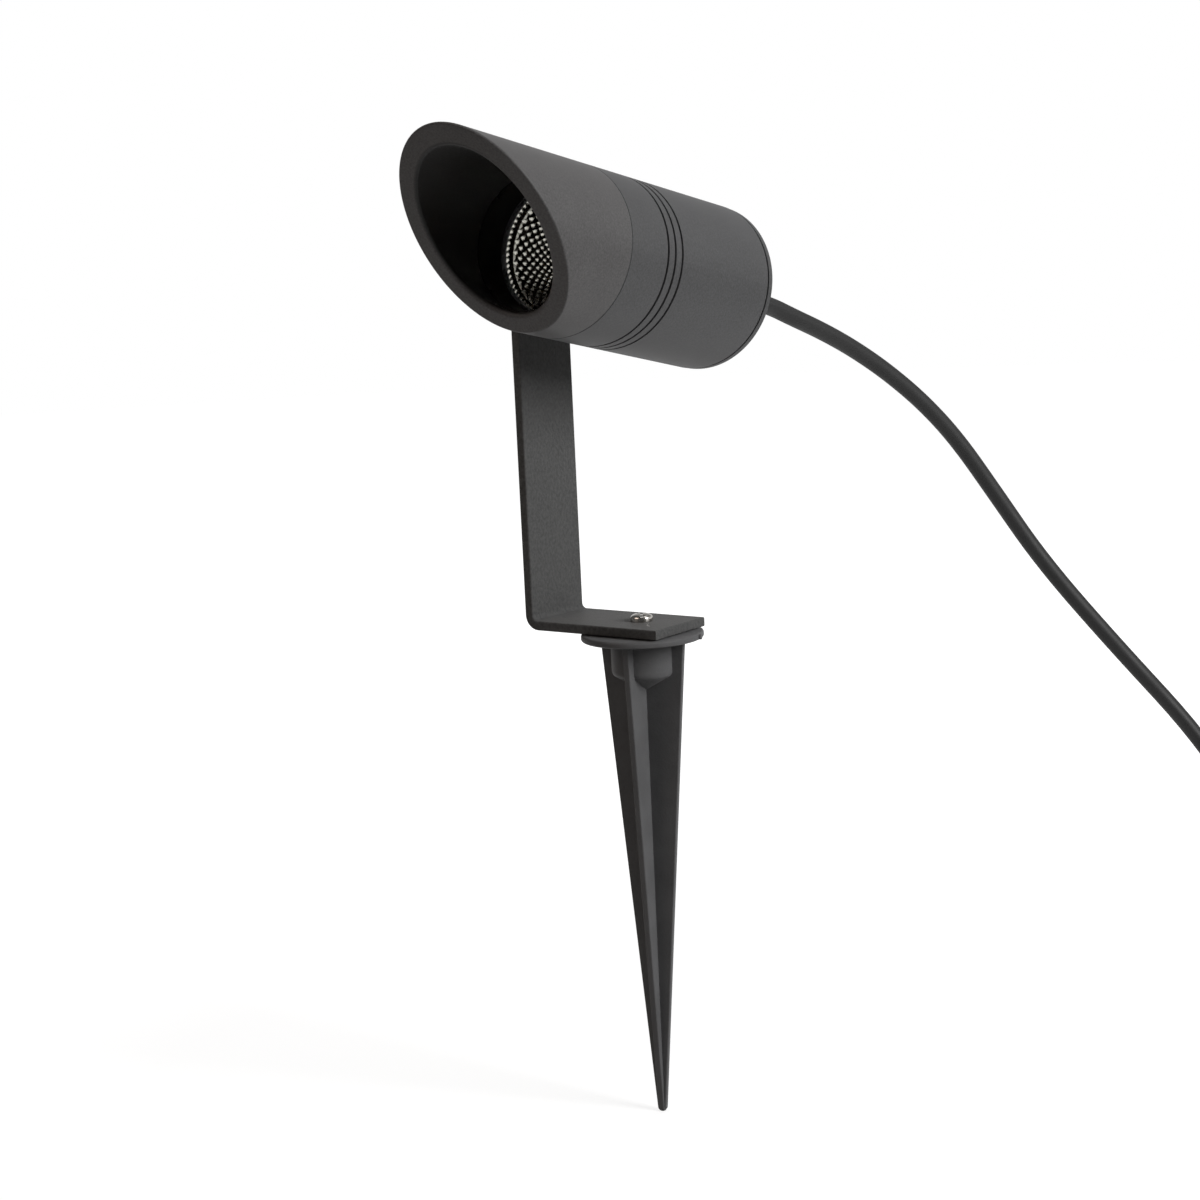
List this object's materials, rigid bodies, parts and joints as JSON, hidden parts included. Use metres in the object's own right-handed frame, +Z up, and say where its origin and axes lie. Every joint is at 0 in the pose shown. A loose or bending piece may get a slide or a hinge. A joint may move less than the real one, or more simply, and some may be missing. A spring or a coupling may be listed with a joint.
{
  "type": "garden spike light",
  "caption": "Cylindrical spotlight with a slanted glare cowl on an L-shaped bracket, swivelling on a cruciform ground spike, with a mains lead and moulded plug.",
  "frame": {"origin": "on the spike's axis at ground level, at the underside of the spike's flange", "axes": "+Z up along the spike, +X the way the bracket's foot points, -Y the way the lamp head looks"},
  "size_m": [0.3515, 0.425, 0.42],
  "materials": {
    "spike_plastic": "moulded, slightly satin",
    "bracket_coat": "fine-textured powder coat",
    "head_coat": "matt anthracite powder coat",
    "inner_coat": "matt black powder coat",
    "stainless": "bright stainless steel",
    "black_rubber": "matt rubber",
    "seal_silicone": "silicone",
    "lamp_glass": "clear toughened glass",
    "reflector_metal": "bright metallised facets",
    "board_white": "white solder mask",
    "emitter_yellow": "yellow phosphor",
    "black_plastic": "moulded",
    "white_plastic": "moulded",
    "pad_grey": "soft thermal pad",
    "wire_cover": "wire insulation",
    "gland_plastic": "moulded nylon",
    "plated_brass": "nickel-plated"
  },
  "bodies": {
    "spike": {"ground_spike": "spike_plastic", "foot_screw": "stainless"},
    "bracket": {"bracket": "bracket_coat", "lead_free": "black_rubber", "lead_coil": "black_rubber", "lead_tail": "black_rubber", "plug_body": "black_rubber", "plug_pins": "plated_brass", "plug_earth_strips": "plated_brass", "plug_relief": "black_rubber"},
    "head": {"pivot_spacer": "inner_coat", "pivot_washer": "stainless", "pivot_spring_washer": "stainless", "pivot_screw": "stainless", "head_body": "head_coat", "cowl_seal": "seal_silicone", "cowl": "head_coat", "glass_gasket": "seal_silicone", "front_glass": "lamp_glass", "glass_ring": "inner_coat", "reflector": "reflector_metal", "thermal_pad": "pad_grey", "led_board": "board_white", "led_emitter": "emitter_yellow", "led_holder": "black_plastic", "holder_screws": "stainless", "driver": "white_plastic", "driver_pad": "pad_grey", "terminal_block": "white_plastic", "supply_wires": "wire_cover", "led_wires": "wire_cover", "cap_gasket": "seal_silicone", "rear_cap": "head_coat", "cap_screws": "stainless", "gland_body": "gland_plastic", "gland_seal": "black_rubber", "gland_nut": "gland_plastic", "gland_locknut": "gland_plastic", "lead_inlet": "black_rubber"}
  },
  "joints": [
    {"name": "bracket_swivel", "type": "hinge", "parent": "spike", "child": "bracket", "pos_m": [0, 0, 0], "axis": [0, 0, 1], "range_deg": [-180, 180]},
    {"name": "head_tilt", "type": "hinge", "parent": "bracket", "child": "head", "pos_m": [0, 0, 0.15375], "axis": [-1, 0, 0], "range_deg": [-57, 78], "deforming": ["lead_free"]}
  ]
}
